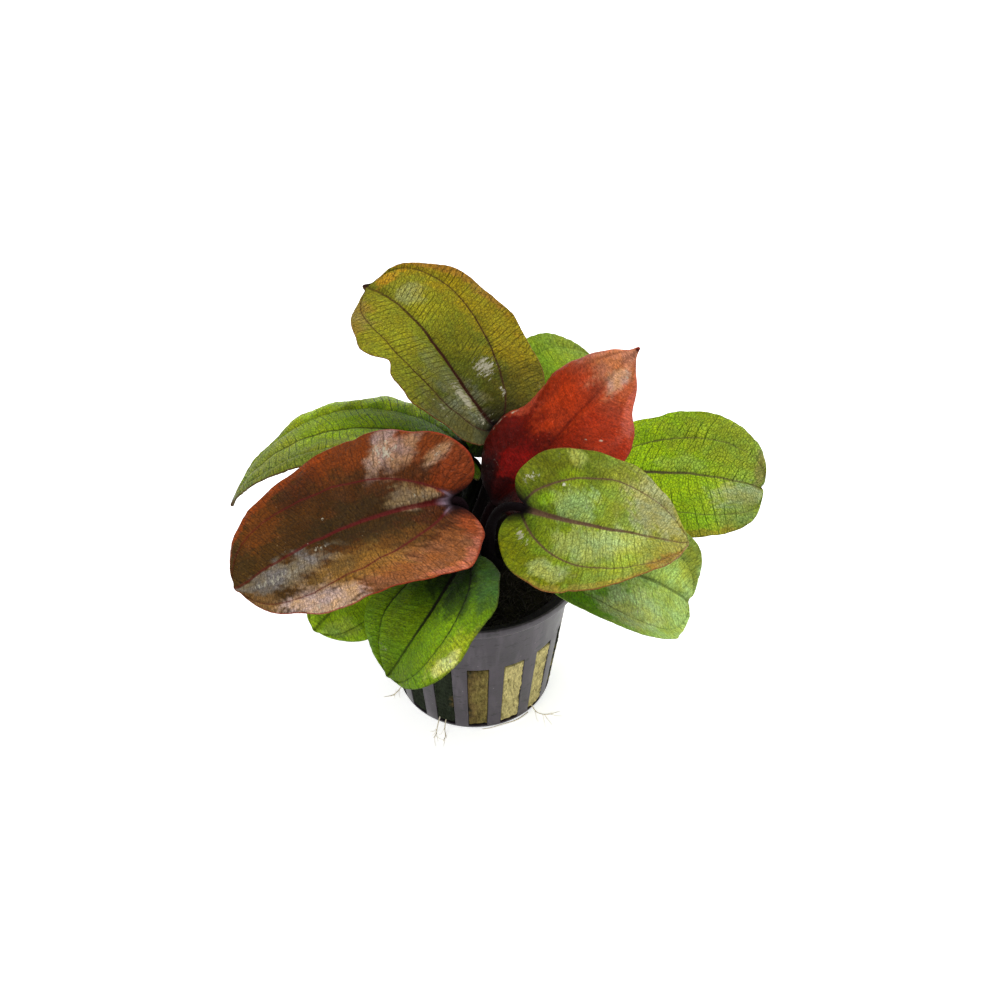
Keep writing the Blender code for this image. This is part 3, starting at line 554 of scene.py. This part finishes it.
def leaf_piece(name, leaf, seed):
    """Stalk and blade in one skin, over the leaf's solid.

    A point of the blade is the midrib's point, plus its place across times the half-width
    along left, folded up by the cup, plus half the thickness and the relief along up, less the
    basal lobes' set-back along forward, and the nib or notch as a bell at the tip. The stalk's
    rings are circles round its path, drawn out sideways by the wing times t cubed (1 - t),
    which is widest at three quarters.
    """
    reach, bearing = leaf["foot"]
    foot = turned(reach, math.radians(bearing), STALK_FOOT)
    turn, share, path, forward, left, up = blade_frames(leaf, np.array(leaf["base"]) - foot)
    t, stalk, stalk_left, stalk_up = stalk_frames(path[0], forward[0], left[0])
    v, face, angle = section()

    sheath = 1 + SHEATH * (1 - t) ** 3
    radius = (STALK_RADIUS + (FOOT_RADIUS - STALK_RADIUS) * (1 - t) ** 2) * sheath
    broad = radius + leaf.get("wing", 0.0) * 256 / 27 * t**3 * (1 - t)
    stalk_rings = set_off(stalk, (broad[:, None] * np.cos(angle), stalk_left),
                          (radius[:, None] * np.sin(angle), stalk_up))

    S = np.broadcast_to(share[:, None], (BLADE_STATIONS, len(v)))
    V = np.broadcast_to(v, S.shape)
    clean, halves = half_widths(leaf, seed, turn, share)
    clean, half = [np.where(V >= 0, one[:, None], other[:, None]) for one, other in (clean, halves)]
    x = V * half
    y = S * leaf["length"]
    side = np.abs(x)
    edge = half - side
    lateral, from_lateral, ladder = vein_lines(leaf, seed, S, V, half, clean, x, y)
    rise = relief(leaf["net"][2], seed, V, half, x, y, lateral, from_lateral, ladder)

    cup_base, cup_tip, curl = leaf["cup"]
    fold = np.radians(cup_tip + (cup_base - cup_tip) * (1 - S) ** 2 + curl * V**2)
    rib = (STALK_RADIUS + (RIB_TIP_RADIUS - STALK_RADIUS) * share)[:, None]
    thick = BLADE_THICKNESS / 2 * np.sqrt((edge / (BLADE_THICKNESS / 2)).clip(0, 1))
    keel = np.where(face < 0, np.exp(-(side / RIB_FLARE) ** 2), np.exp(-half / THROAT))
    out = x * np.cos(fold) + rib * np.cos(angle)
    over = side * np.sin(fold) + face * thick + rib * np.sin(angle) * keel + rise
    set_back = np.sin(turn) * np.cos(turn / 2) ** LOBE_POWER
    set_back = (set_back * leaf["lobe"] / set_back.max())[:, None] * V**2
    ahead = leaf["nib"] * np.exp(-(1 - S) / NIB_SHARE - (x / NIB_HALF) ** 2) - set_back
    blade = set_off(path, (out, left), (over, up), (ahead, forward))

    def whole(blade_values, stalk_values=0.0):
        """Three values a point: the stalk's, and the blade's after them."""
        return np.concatenate([np.broadcast_to(stalk_values, stalk_rings.shape), blade_values])

    uneven = ripple(seed + 71, x, y, waves=10, longest=7.0)
    uneven = uneven + 0.7 * ripple(seed + 83, x, y, waves=14, longest=2.2)
    # Water film on the leaf, glossy and also painted pale as sheen.
    film_and_sheen = np.zeros_like(S)
    for at, across, long, wide, strength in leaf["wet"]:
        film_and_sheen = np.maximum(film_and_sheen, strength * oval(S, V, at, across, long, wide))
    below = np.broadcast_to(face < 0, S.shape)
    # place holds the share, the water film with its painted sheen, and the mark for the stalk's
    # near-black painted shade.
    marks = {
        "tone": whole(lamina_tone(leaf, S, V, uneven)),
        "place": whole(np.stack([S, film_and_sheen, 1 - smooth(y, 0.0, STALK_COLOR_END)], -1), (0, 0, 1)),
        "veins": whole(np.stack([x, from_lateral, edge], -1), OFF_VEIN),
        "lay": whole(np.stack([ladder, x, below], -1), np.stack([0 * v, 0 * v, face < 0], -1)),
    }
    piece = skins("dressed_" + name, whole(blade, stalk_rings)[None] + foot,
                  leaf_material(name, leaf), marks)
    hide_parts(name)
    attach(piece, "root")


# Finishes

def linear(code):
    """An sRGB hex colour as linear red, green, blue and alpha."""
    parts = [int(code[k:k + 2], 16) / 255 for k in (0, 2, 4)]
    return [c / 12.92 if c <= 0.04045 else ((c + 0.055) / 1.055) ** 2.4 for c in parts] + [1.0]


def new_material(name):
    """A node material with one shader. Gives it, a call that adds a node to its tree, a call
    that fills the shader's inputs, and the object's coordinates in metres."""
    made = bpy.data.materials.new(name)
    made.use_nodes = True
    tree = made.node_tree
    add = partial(node, tree)
    return made, add, partial(fill, tree, tree.nodes["Principled BSDF"]), add("TexCoord", out=3)


def fill(tree, made, inputs):
    """Link or set a node's inputs, which are given in their order, or by number or name. A
    text is a hex colour."""
    named = inputs if isinstance(inputs, dict) else dict(enumerate(inputs))
    for key, value in named.items():
        if isinstance(value, bpy.types.NodeSocket):
            tree.links.new(value, made.inputs[key])
        else:
            made.inputs[key].default_value = linear(value) if isinstance(value, str) else value


def node(tree, kind, inputs=(), out=0, ramp=(), **settings):
    """Add a node with its settings, its inputs, and a ramp's stops as (place, hex colour).
    Gives the node's output socket numbered out."""
    made = tree.nodes.new("ShaderNode" + kind)
    for name, value in settings.items():
        setattr(made, name, value)
    fill(tree, made, inputs)
    for k, (place, code) in enumerate(ramp):
        stops = made.color_ramp.elements
        stop = stops[k] if k < len(stops) else stops.new(place)
        stop.position = place
        stop.color = linear(code)
    return made.outputs[out]


# Settings that nodes share: a colour mix, and a map range with a smooth step.
COLORS = dict(out=2, data_type="RGBA")
STEP = dict(interpolation_type="SMOOTHSTEP")


def leaf_material(name, leaf):
    """Living leaf, wet: a waxy skin over green or anthocyanin-red tissue.

    The eye sees dark veins sunk in a finely grained lamina, a thin coloured margin, and pale
    broken patches and specks where water lies on it: the patches are painted sheen under a
    glossy coat of water film, and the specks are painted glints. The stalk's near-black colour
    is painted shade. The cross veins lie at their pitch in millimetres. The grain of the cells,
    0.05 mm in a real leaf, is drawn about 0.5 mm across so that it shows.
    """
    made, add, shade, where = new_material("wet_leaf_" + name[5:])
    tone, place, veins, lay = [add("Attribute", out=1, attribute_name=mark)
                               for mark in ("tone", "place", "veins", "lay")]
    share, wet, stalk = add("SeparateXYZ", (place,)).node.outputs
    across, from_side, edge = add("SeparateXYZ", (veins,)).node.outputs
    ladder, flat, below = add("SeparateXYZ", (lay,)).node.outputs
    flow = add("CombineXYZ", (ladder, flat))
    fibre, mesh, streak = [add("Mapping", {0: flow, 3: scale}) for scale in
                           ((3.2, 0.7, 1.0), (1.5, 0.8, 1.0), (1.3, 0.42, 1.0))]
    grain, cloud, sway, patch, fibre, streak = [
        add("TexNoise", {"Vector": vector, "Scale": scale, "Detail": detail, "Roughness": rough})
        for vector, scale, detail, rough in (
            (where, 2000.0, 3.0, 0.8), (where, 130.0, 4.0, 0.6), (where, 250.0, 1.0, 0.5),
            (where, 210.0, 4.0, 0.6), (fibre, 1.0, 4.0, 0.7), (streak, 1.0, 6.0, 0.78))]
    fade = add("MapRange", (share, 0.5, 1.0, 1.0, 0.5))
    above = add("Math", (1.0, below), operation="SUBTRACT")

    # Cross veins: thin lines a pitch apart, nearly straight, that come and go over a fine mesh.
    net_color, net_depth, pitch = leaf["net"]
    sway = add("Math", (sway, 0.3), operation="MULTIPLY")
    rung = add("Math", (ladder, 1 / pitch, sway), operation="MULTIPLY_ADD")
    rung = add("Math", (rung, 0.5), operation="PINGPONG")
    rung = add("Math", (rung, pitch), operation="MULTIPLY")
    mesh = add("TexVoronoi", {"Vector": mesh, "Scale": 1.0}, voronoi_dimensions="2D",
               feature="DISTANCE_TO_EDGE")

    # Side veins and midrib: a dark line in a soft shadow, fainter towards the tip.
    rib_base, rib_color, rib_depth, side_depth = leaf["ribs"]
    rib_half = add("MapRange", (share, 0.0, 1.0, *RIB_HALF))
    from_rib = add("Math", (across,), operation="ABSOLUTE")
    from_rib = add("Math", (from_rib, rib_half), operation="DIVIDE")
    from_side = add("Math", (from_side,), operation="ABSOLUTE")

    # Water film on the upper face, a glossy coat painted pale as sheen, broken up into streaks
    # along the cross veins, and specks of painted glint.
    streak = add("MapRange", (streak, 0.3, 0.7, -0.5, 0.42))
    film_and_sheen = add("Math", (wet, streak), operation="ADD")

    # Smooth steps: each mark from its middle outwards, and where marks begin or show.
    margin_color, margin_depth, begins = leaf["margin"]
    rung, shown, mesh, film_and_sheen, painted_glint, margin, started, begun, *lines = [
        add("MapRange", values, **STEP) for values in (
            (rung, 0.03, 0.2, net_depth, 0.0), (cloud, 0.40, 0.62, 0.15, 1.0),
            (mesh, 0.01, 0.10, 0.85 * net_depth, 0.0), (film_and_sheen, 0.50, 0.76, 0.0, 0.82),
            (grain, 0.68, 0.76, 0.0, 0.4), (edge, 0.08, 0.4, margin_depth, 0.0),
            (share, begins - 0.01, begins + 0.12), (share, 0.01, 0.08),
            (from_side, 0.10, 0.70, 0.3 * side_depth, 0.0),
            (from_side, 0.08, 0.26, side_depth, 0.0),
            (from_rib, 0.6, 2.0, 0.3 * rib_depth, 0.0), (from_rib, 0.6, 1.1, rib_depth, 0.0))]
    rung, film_and_sheen, painted_glint, margin, *lines = [add("Math", pair, operation="MULTIPLY") for pair in (
        (rung, shown), (film_and_sheen, above), (painted_glint, above), (margin, started),
        *((line, fade) for line in lines))]
    rib = add("Mix", {0: begun, 6: rib_base, 7: rib_color}, **COLORS)

    color = tone
    for source, low, high in ((grain, 0.62, 1.68), (fibre, 0.6, 1.65), (cloud, 0.78, 1.27)):
        light = add("MapRange", (source, 0.3, 0.7, low, high))
        color = add("Mix", {0: 1.0, 6: color, 7: light}, blend_type="MULTIPLY", **COLORS)
    patch = add("ValToRGB", (patch,), ramp=((0.4, "fff0a0"), (0.6, "e8f4ff")))
    color = add("Mix", {0: 0.6, 6: color, 7: patch}, blend_type="MULTIPLY", **COLORS)
    lower = add("Math", (below, 0.8), operation="MULTIPLY")
    # Mixed over in turn: the lower face, the cross veins, the ribs, the painted glints, the painted
    # sheen of the film, the margin, and the stalk's near-black painted shade.
    for much, over in ((lower, leaf["under"]), (mesh, net_color), (rung, net_color),
                       *((line, rib) for line in lines), (painted_glint, "c8c4a8"), (film_and_sheen, "aca690"),
                       (margin, margin_color), (stalk, leaf["stalk"])):
        color = add("Mix", {0: much, 6: color, 7: over}, **COLORS)

    rough = add("MapRange", (grain, 0.3, 0.7, 0.35, 0.6))
    rough = add("Math", (stalk, 0.4, rough), operation="MULTIPLY_ADD")
    height = add("Math", (mesh, -1.0, grain), operation="MULTIPLY_ADD")
    height = add("Math", (rung, -1.0, height), operation="MULTIPLY_ADD")
    bump = add("Bump", {"Strength": 0.8, "Distance": 0.0003, "Height": height})
    shade({"Base Color": color, "Roughness": rough, "Normal": bump, "IOR": 1.40,
           "Specular IOR Level": 0.1, "Coat Weight": film_and_sheen, "Coat Roughness": 0.2})
    return made


def pot_material():
    """Injection-moulded polypropylene, dark purplish grey and wet.

    The moulding is satin, with runs of water down the wall, small marks where drops dried and
    dark smudges. Inside it is painted near black as shade, and a dark band at the foot is
    painted shade.
    """
    made, add, shade, where = new_material("moulded_polypropylene")
    height = add("SeparateXYZ", (where,), out=2)
    cloud = add("TexNoise", {"Vector": where, "Scale": 150.0, "Detail": 4.0, "Roughness": 0.6})
    grain = add("TexNoise", {"Vector": where, "Scale": 2200.0, "Detail": 2.0})
    run = add("Mapping", {0: where, 3: (420.0, 420.0, 60.0)})
    run = add("TexNoise", {"Vector": run, "Scale": 1.0, "Detail": 3.0})
    smudge = add("Mapping", {0: where, 3: (240.0, 240.0, 700.0)})
    smudge = add("TexNoise", {"Vector": smudge, "Scale": 1.0, "Detail": 5.0, "Roughness": 0.7})
    drops = add("TexVoronoi", {"Vector": where, "Scale": 340.0})
    inner = add("Attribute", out=2, attribute_name="inner")
    # The inside, 0c0a0b, and a band at the foot, 100e0e, are painted shade.
    run, ring, smudge, inner, foot = [add("MapRange", values, **STEP) for values in (
        (run, 0.45, 0.75, 0.0, 0.35), (drops, 0.03, 0.08, 0.5, 0.0),
        (smudge, 0.57, 0.62, 0.0, 0.7), (inner, 0.3, 0.7, 0.0, 0.92),
        (height, 0.0006, 0.0013, 0.85, 0.0))]
    color = add("ValToRGB", (cloud,), ramp=((0.3, "282228"), (0.7, "3c343c")))
    for much, over in ((run, "605860"), (ring, "948c90"), (smudge, "141012"),
                       (inner, "0c0a0b"), (foot, "100e0e")):
        color = add("Mix", {0: much, 6: color, 7: over}, **COLORS)
    rough = add("MapRange", (cloud, 0.3, 0.7, 0.3, 0.46))
    rough = add("Math", (inner, 0.5, rough), operation="MULTIPLY_ADD")
    bump = add("Bump", {"Strength": 0.25, "Distance": 0.0001, "Height": grain})
    shade({"Base Color": color, "Roughness": rough, "Normal": bump, "IOR": 1.49,
           "Specular IOR Level": 0.35})
    return made


def wool_material():
    """Rockwool, spun mineral fibre, soaked: matted threads, stained by algae.

    Threads are 0.01 mm in the real one and are drawn about 0.4 mm thick, so that they show.
    The wool is green-black at the left slots, olive-brown in the middle, pale yellow-olive
    right of it and black at the far right, and above the slots it is painted near black as the
    shade of the leaves over it.
    """
    made, add, shade, where = new_material("soaked_rockwool")
    x, height = [add("SeparateXYZ", (where,), out=k) for k in (0, 2)]
    thread = add("Mapping", {0: where, 3: (1400.0, 1400.0, 420.0)})
    thread = add("TexNoise", {"Vector": thread, "Scale": 1.0, "Detail": 5.0, "Roughness": 0.7,
                              "Distortion": 1.2})
    patch = add("TexNoise", {"Vector": where, "Scale": 260.0, "Detail": 4.0})
    stain = add("MapRange", (patch, 0.3, 0.7, -0.066, 0.066))
    stain = add("Math", (x, 1 / (50 * MM), stain), operation="MULTIPLY_ADD")
    stain = add("Math", (stain, 0.5), operation="ADD")
    color = add("ValToRGB", (stain,), ramp=(
        (0.416, "20261a"), (0.464, "5c4c2c"), (0.572, "746838"), (0.644, "b4a870"),
        (0.84, "b4a870"), (0.89, "1c1c16")))
    light = add("MapRange", (thread, 0.3, 0.7, 0.25, 1.75))
    color = add("Mix", {0: 1.0, 6: color, 7: light}, blend_type="MULTIPLY", **COLORS)
    # Painted shade: near black above the slots, under the leaves.
    dark = add("MapRange", (height, 0.022, 0.028, 0.0, 0.98), **STEP)
    color = add("Mix", {0: dark, 6: color, 7: "050404"}, **COLORS)
    bump = add("Bump", {"Strength": 0.8, "Distance": 0.0004, "Height": thread})
    shade({"Base Color": color, "Roughness": 0.9, "Normal": bump, "Specular IOR Level": 0.06})
    return made


def tissue_material(name, dark, light, scale, rough):
    """Root, rootstock and fibre: a moist skin, clouded dark and light."""
    made, add, shade, where = new_material(name)
    cloud = add("TexNoise", {"Vector": where, "Scale": scale, "Detail": 4.0, "Roughness": 0.65})
    color = add("ValToRGB", (cloud,), ramp=((0.32, dark), (0.68, light)))
    bump = add("Bump", {"Strength": 0.5, "Distance": 0.0002, "Height": cloud})
    shade({"Base Color": color, "Roughness": rough, "Normal": bump, "Specular IOR Level": 0.15})
    return made


def floor_material():
    """White backing paper: nearly even, with the faintest clouding."""
    made, add, shade, where = new_material("white_backing_paper")
    cloud = add("TexNoise", {"Vector": where, "Scale": 6.0, "Detail": 2.0})
    color = add("ValToRGB", (cloud,), ramp=((0.3, "f6f6f6"), (0.7, "fafafa")))
    shade({"Base Color": color, "Roughness": 0.8, "Emission Color": "ffffff",
           "Emission Strength": 0.6})
    return made


# Pot, plug, crown, roots

def wall_radius(height):
    """Outer radius of the pot's conical wall at a height."""
    share = (height - POT_FLOOR) / (POT_WALL_TOP - POT_FLOOR)
    return POT_BASE_RADIUS + (POT_WALL_TOP_RADIUS - POT_BASE_RADIUS) * share


def net_pot():
    """Conical pot: a profile of radius and height turned about Z, up the outside, over the rim
    and down the inside. The walls leave out their cells in a slot, whose edges are closed from
    the outside to the inside. The bevel rounds the moulding's edges."""
    levels = np.linspace(POT_FLOOR, SLOT_TOP, SLOT_LEVELS)
    wall = [(wall_radius(z), z) for z in (*levels, *POT_WALL_RINGS)]
    inner = [(r - POT_WALL, z) for r, z in wall]
    profile = np.array([*POT_FOOT, *wall, *COLLAR, *COLLAR_INSIDE[::-1], *inner[::-1]])
    pitch = 360.0 / SLOTS
    widths = ([pitch * SLOT_SHARE / SLOT_COLUMNS] * SLOT_COLUMNS
              + [pitch * (1 - SLOT_SHARE) / RIB_COLUMNS] * RIB_COLUMNS) * SLOTS
    start = FIRST_SLOT_BEARING - pitch * SLOT_SHARE / 2
    bearing = np.radians(start + np.cumsum([0.0] + widths)[:-1])
    rows, columns = len(profile), len(bearing)
    slotted = np.arange(columns) % (SLOT_COLUMNS + RIB_COLUMNS) < SLOT_COLUMNS

    # Numbers of the points, and those at the slots' levels outside and inside, from below.
    numbers = np.arange(rows * columns).reshape(rows, columns)
    nxt = np.roll(numbers, -1, 1)
    outside = len(POT_FOOT) + np.arange(SLOT_LEVELS)
    inside = rows - 1 - np.arange(SLOT_LEVELS)
    open_row = np.isin(np.arange(rows - 1), [*outside[:-1], *inside[1:]])
    walls = skin_faces(numbers)[~(open_row[:, None] & slotted)]
    out, back = outside[0], inside[0]
    sills = np.stack([numbers[out], nxt[out], nxt[back], numbers[back]], -1)[slotted]
    out, back = outside[-1], inside[-1]
    lintels = np.stack([numbers[out], numbers[back], nxt[back], nxt[out]], -1)[slotted]
    front, back = numbers[outside], numbers[inside]
    jambs = np.stack([front[:-1], back[:-1], back[1:], front[1:]], -1)
    first = jambs[:, slotted & ~np.roll(slotted, 1)].reshape(-1, 4)
    last = jambs[:, ~slotted & np.roll(slotted, 1), ::-1].reshape(-1, 4)

    points = np.concatenate([turned(profile[:, :1], bearing, profile[:, 1:]).reshape(-1, 3),
                             [[0, 0, 0], [0, 0, POT_FLOOR]]])
    poles = [pole_faces(rows * columns, numbers[0])[:, [0, 2, 1]],
             pole_faces(rows * columns + 1, numbers[-1])]
    # Marks the inside rows, which are painted near black as shade.
    stained = np.zeros(len(points))
    stained[(len(POT_FOOT) + len(wall) + len(COLLAR)) * columns:rows * columns] = 1.0
    piece = surface("slotted_net_pot", points, [walls, sills, lintels, first, last, *poles],
                    pot_material(), {"inner": stained})
    piece.data.set_sharp_from_angle(angle=EDGE_ANGLE)
    bevel = piece.modifiers.new("rounded edges", "BEVEL")
    bevel.width = 0.14 * MM
    bevel.segments = 2
    bevel.limit_method = "ANGLE"
    bevel.angle_limit = EDGE_ANGLE
    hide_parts("net_pot")
    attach(piece, "root")


def rockwool_plug():
    """Tapered plug: a profile turned about Z, whose radius swells into the slots. Sums of sines
    make the swellings and the top lumpy."""
    inset = POT_WALL + PLUG_GAP
    wall = np.concatenate([np.linspace(PLUG_BOTTOM + 0.25, SLOT_TOP + 0.3, 72),
                           np.linspace(SLOT_TOP + 1.0, PLUG_TOP - 1.2, 16)])
    shoulder = wall_radius(PLUG_TOP) - inset
    top = np.linspace(shoulder - 1.4, 0.4, 40)
    z = np.concatenate([[PLUG_BOTTOM, PLUG_BOTTOM, PLUG_BOTTOM + 0.2], wall,
                        [PLUG_TOP - 0.35], np.full(len(top), PLUG_TOP)])
    r = np.concatenate([[0.4, 9.0, wall_radius(PLUG_BOTTOM) - inset - 0.7],
                        wall_radius(wall) - inset, [shoulder - 0.5], top])
    bearing = np.linspace(0, 2 * np.pi, PLUG_COLUMNS, endpoint=False)
    clean = turned(r[:, None], bearing, z[:, None])
    Z = clean[..., 2]
    lumps = ripple(3, *np.moveaxis(clean, -1, 0), waves=14, longest=7.0)
    fine = ripple(4, *np.moveaxis(clean, -1, 0), waves=24, longest=1.8)
    pitch = 2 * np.pi / SLOTS
    off_slot = np.abs((bearing - math.radians(FIRST_SLOT_BEARING) + pitch / 2) % pitch - pitch / 2)
    in_slot = 1 - smooth(off_slot, pitch * SLOT_SHARE * 0.485, pitch * SLOT_SHARE * 0.4995)
    ragged = Z + 0.35 * np.abs(fine)
    in_slot = in_slot * smooth(Z, 1.7, 1.9) * (1 - smooth(ragged, SLOT_TOP - 0.4, SLOT_TOP - 0.1))
    on_wall = (Z > PLUG_BOTTOM + 0.22) & (Z < PLUG_TOP - 1)
    R = r[:, None] + on_wall * in_slot * (PLUG_SWELL + 0.12 * lumps + 0.10 * fine)
    on_top = (Z > PLUG_TOP - 1) * smooth(shoulder - R, 0.0, 3.0)
    rings = turned(R, bearing, Z + on_top * (0.25 + 0.35 * lumps + 0.18 * fine))
    piece = skins("soaked_rockwool_plug", rings[None], wool_material())
    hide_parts("rockwool_plug")
    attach(piece, "root")


def wool_fibres():
    """Loose fibres on the plug's top and the collar's inside: arcs of a circle that lie at all
    bearings, hump in the middle, and past the plug's edge rise with the collar's slope."""
    draw = np.random.default_rng(21)
    each = (FIBRES, 1)
    t = np.linspace(-0.5, 0.5, FIBRE_STEPS)
    away = 7.5 + 17.0 * draw.random(each) ** 0.6
    bearing = draw.random(each) * 2 * np.pi
    heading = draw.random(each) * 2 * np.pi
    step = (3.0 + 5.0 * draw.random(each)) / FIBRE_STEPS
    angle = heading + draw.normal(size=each) * 1.2 * t
    x = away * np.cos(bearing) + np.cumsum(np.cos(angle) * step, 1)
    y = away * np.sin(bearing) + np.cumsum(np.sin(angle) * step, 1)
    hump = draw.random(each) * 1.1 * (1 - 4 * t**2)
    lying = PLUG_TOP + 0.1 + hump + draw.random(each) * 0.3
    held = (FIBRE_REACH / np.hypot(x, y)).clip(0, 1)
    past = (np.hypot(x * held, y * held) - COLLAR_BEGINS).clip(0)
    z = np.where(past > 0, 40.9 + 0.32 * past + 0.5 * hump, lying)
    radii = (0.05 + 0.07 * draw.random(each)) * (1 - 1.6 * np.abs(t))
    # The fibres' near-black colour is painted shade of the leaves over the plug's top.
    piece = strands("rockwool_fibres", np.stack([x * held, y * held, z], -1), radii,
                    tissue_material("rockwool_fibre", "080605", "3a352f", 500.0, 0.8), 4)
    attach(piece, "root")


def crown():
    """Low rootstock with old stalks' sheathing bases: a dome whose radius falls with the cosine
    of t to the power 0.45 and whose height grows with its sine to the power 0.9, both uneven
    with ridges, sines of the bearing that run up it."""
    t = np.linspace(0, 1, 40)[:, None]
    bearing = np.linspace(0, 2 * np.pi, 120, endpoint=False)
    ridge = np.sin(bearing * 11 + 2 * t) * 0.35 + 0.25 * np.sin(bearing * 23 + 1.0 - 3 * t)
    r = CROWN_RADIUS * np.cos(t * np.pi / 2) ** 0.45 * (1 + 0.06 * ridge) + 0.02
    z = CROWN_BOTTOM + CROWN_DOME * np.sin(t * np.pi / 2) ** 0.9 + 0.4 * ridge * np.sin(np.pi * t)
    # Its near-black colour is painted shade in the heart of the plant.
    piece = skins("rootstock_crown", turned(r, bearing, z)[None],
                  tissue_material("rootstock_tissue", "080304", "14060a", 420.0, 0.6))
    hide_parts("crown")
    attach(piece, "root")


def along(route, steps):
    """Points along a smooth curve through the route: a Catmull-Rom spline."""
    points = np.array(route, float)
    padded = np.vstack([2 * points[0] - points[1], points, 2 * points[-1] - points[-2]])
    knots = np.linspace(0, len(points) - 1, steps)
    leg = np.minimum(knots.astype(int), len(points) - 2)
    t = (knots - leg)[:, None]
    a, b, c, d = (padded[leg + k] for k in range(4))
    return 0.5 * (2 * b + (c - a) * t + (2 * a - 5 * b + 4 * c - d) * t**2
                  + (3 * b - 3 * c + d - a) * t**3)


def roots():
    """Each root: a tapered main strand on its route, and fine branches that leave it and are
    bent sideways and down by the square of their share, but not into the ground. The right one
    also has a long hair that lies in an arc along the pot's foot."""
    skin = tissue_material("root_skin", "b8aa8c", "f0e8d4", 900.0, 0.6)
    t = np.linspace(0, 1, ROOT_STEPS)
    for number, (name, route) in enumerate(ROOTS.items()):
        draw = np.random.default_rng(60 + number)
        main = along(route, ROOT_STEPS)
        paths, radii = [main], [ROOT_RADIUS * (1 - 0.55 * t)]
        slope = np.gradient(main, axis=0)
        for branch in range(BRANCHES):
            start = int(4 + draw.random() * (ROOT_STEPS - 8))
            turn = draw.normal() * 0.7
            away = slope[start] / np.linalg.norm(slope[start])
            bearing = math.atan2(away[1], away[0]) + turn
            away = turned(math.hypot(away[0], away[1]), bearing, away[2])
            length = 1.6 + 2.4 * draw.random()
            path = main[start] + away * (t * length)[:, None]
            bend = draw.normal(size=2) * 0.5
            path[:, :2] += bend * (t**2)[:, None]
            path[:, 2] = np.maximum(path[:, 2] - 1.2 * t**2, 0.12)
            paths.append(path)
            radii.append((0.05 + 0.03 * draw.random()) * (1 - 0.6 * t))
        if name == "root_right":
            reach = POT_BASE_RADIUS + 0.20 + 0.06 * np.sin(9 * t)
            bearing = np.radians(np.linspace(-46, -84, ROOT_STEPS))
            paths.append(turned(reach, bearing, 0.35 + 0.30 * np.cos(5 * t) ** 2))
            radii.append(ROOT_RADIUS * (1 - 0.4 * t))
        piece = strands("fine_" + name, np.array(paths), np.array(radii), skin, 7)
        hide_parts(name)
        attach(piece, "root")


# Set, light and camera

def set_and_light():
    """White paper floor, one large soft light above and behind, one to the front left, and an
    even pale surround. The camera looks down at the photograph's angle."""
    corners = FLOOR_HALF * np.array([[-1, -1, 0], [1, -1, 0], [1, 1, 0], [-1, 1, 0]])
    floor = surface("paper_floor", corners, [np.array([[0, 1, 2, 3]])], floor_material())

    world = bpy.data.worlds.new("pale_surround")
    bpy.context.scene.world = world
    world.use_nodes = True
    surround = world.node_tree.nodes["Background"]
    fill(world.node_tree, surround, {"Color": "ffffff", "Strength": 0.5})

    for name, place, size, power in (("soft_top", (0.35, 0.35, 1.0), 0.8, 13.0),
                                     ("soft_front", (-0.7, -0.8, 0.9), 0.8, 5.0)):
        lamp = bpy.data.lights.new(name, "AREA")
        lamp.energy = power
        lamp.size = size
        holder = bpy.data.objects.new(name, lamp)
        holder.location = place
        aim = np.array([0.0, 0.0, 0.05]) - np.array(place)
        aim /= np.linalg.norm(aim)
        holder.rotation_euler = (math.acos(-aim[2]), 0.0,
                                 math.atan2(aim[1], aim[0]) - math.pi / 2)
        bpy.context.collection.objects.link(holder)

    lens = bpy.data.cameras.new("camera")
    lens.lens = LENS
    lens.sensor_width = SENSOR
    lens.clip_start = 0.01
    camera = bpy.data.objects.new("camera", lens)
    elevation = math.radians(CAMERA_ELEVATION)
    camera.location = [(c + CAMERA_DISTANCE * d) * MM for c, d in
                       zip(CAMERA_TARGET, (0.0, -math.cos(elevation), math.sin(elevation)))]
    camera.rotation_euler = (math.pi / 2 - elevation, 0.0, 0.0)
    bpy.context.collection.objects.link(camera)
    bpy.context.scene.camera = camera
    bpy.context.scene.view_settings.view_transform = "Standard"


set_and_light()
net_pot()
rockwool_plug()
wool_fibres()
crown()
roots()
for index, (leaf_name, leaf_sizes) in enumerate(LEAVES.items()):
    leaf_piece(leaf_name, leaf_sizes, 100 * index + 5)
